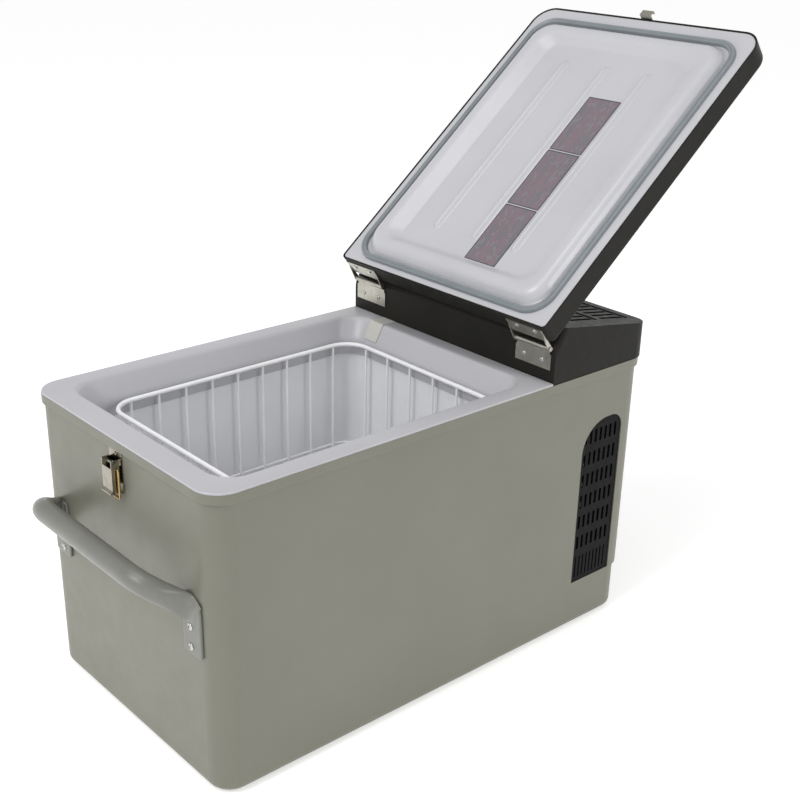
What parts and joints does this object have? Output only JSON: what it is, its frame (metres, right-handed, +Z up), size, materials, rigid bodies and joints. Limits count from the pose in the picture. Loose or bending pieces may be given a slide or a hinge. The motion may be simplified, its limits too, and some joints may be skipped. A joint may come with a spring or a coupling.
{
  "type": "compressor cooler fridge",
  "caption": "Portable top-opening compressor fridge for vehicles: steel cabinet, hinged insulated lid with a toggle latch, lift-out wire basket and end carrying handles.",
  "frame": {"origin": "middle of the cabinet's footprint, at the soles of the four feet", "axes": "+X along the cabinet's length towards the machine compartment, with the latch on the -X end; +Y to the cabinet's left side; +Z up"},
  "size_m": [0.8772, 0.364, 0.7399],
  "materials": {
    "cabinet_paint": "satin khaki grey powder coat",
    "base_steel": "zinc plated and painted sheet",
    "white_plastic": "satin white moulding",
    "tank_plastic": "light grey vacuum-formed sheet",
    "dark_plastic": "dark moulding with a fine grain",
    "seal": "soft grey rubber",
    "foam": "rigid foam, light for its volume",
    "label_foil": "printed foil",
    "plated_steel": "nickel plated",
    "bail_wire": "brass plated wire",
    "coated_wire": "white plastic-coated steel wire",
    "copper": "bare copper tube",
    "compressor_paint": "black enamel",
    "fin_aluminium": "mill finish",
    "lamp_lens": "tinted lens"
  },
  "bodies": {
    "cabinet": {"base_pan": "base_steel", "battery_inlet": "dark_plastic", "bulkhead": "base_steel", "capillary_tube": "copper", "collar_band": "cabinet_paint", "compressor": "compressor_paint", "compressor_bolts": "plated_steel", "compressor_grommets": "seal", "condenser": "fin_aluminium", "control_module": "dark_plastic", "control_plate": "dark_plastic", "discharge_pipe": "copper", "evaporator_coil": "copper", "fan_frame": "dark_plastic", "feet": "seal", "filter_drier": "copper", "fuse_holder": "dark_plastic", "handle_front": "cabinet_paint", "handle_rear": "cabinet_paint", "handle_screws": "plated_steel", "harness_cover": "white_plastic", "hinge_lower_left": "plated_steel", "hinge_lower_right": "plated_steel", "hinge_pins": "plated_steel", "hinge_screws_hood": "plated_steel", "hood": "dark_plastic", "indicator_lamps": "lamp_lens", "inner_liner": "tank_plastic", "insulation_foam": "foam", "latch_base": "plated_steel", "latch_pin": "plated_steel", "latch_rivets": "plated_steel", "liquid_pipe": "copper", "mains_inlet": "dark_plastic", "outer_cabinet": "cabinet_paint", "rear_panel": "dark_plastic", "rear_screws": "plated_steel", "rim_frame": "white_plastic", "sensor_tube": "copper", "suction_pipe": "copper", "thermostat_body": "dark_plastic", "vent_grilles": "dark_plastic"},
    "lid": {"lid_shell": "dark_plastic", "lid_liner": "white_plastic", "lid_gasket": "seal", "lid_labels": "label_foil", "lid_foam": "foam", "lid_strike": "plated_steel", "strike_screws": "plated_steel", "hinge_upper_left": "plated_steel", "hinge_upper_right": "plated_steel", "hinge_screws_lid": "plated_steel"},
    "latch_lever": {"latch_lever": "plated_steel"},
    "latch_bail": {"latch_bail": "bail_wire"},
    "basket": {"basket": "coated_wire"},
    "control_knob": {"control_knob": "dark_plastic"},
    "fan_rotor": {"fan_rotor": "dark_plastic"}
  },
  "joints": [
    {"name": "lid_hinge", "type": "hinge", "parent": "cabinet", "child": "lid", "pos_m": [0.1465, 0, 0.402], "axis": [0, 1, 0], "range_deg": [-140.5, 0]},
    {"name": "latch_lever_hinge", "type": "hinge", "parent": "cabinet", "child": "latch_lever", "pos_m": [-0.3276, 0, 0.334], "axis": [0, 1, 0], "range_deg": [0, 80]},
    {"name": "latch_bail_hinge", "type": "hinge", "parent": "latch_lever", "child": "latch_bail", "pos_m": [-0.3264, 0, 0.328], "axis": [0, 1, 0], "range_deg": [0, 95]},
    {"name": "basket_lift", "type": "slide", "parent": "cabinet", "child": "basket", "axis": [0, 0, 1], "range_m": [0, 0.33]},
    {"name": "knob_turn", "type": "hinge", "parent": "cabinet", "child": "control_knob", "pos_m": [0.322, -0.052, 0.32], "axis": [1, 0, 0], "range_deg": [0, 280]},
    {"name": "fan_spin", "type": "hinge", "parent": "cabinet", "child": "fan_rotor", "pos_m": [0.235, 0.01, 0.245], "axis": [0, 1, 0], "continuous": true}
  ]
}
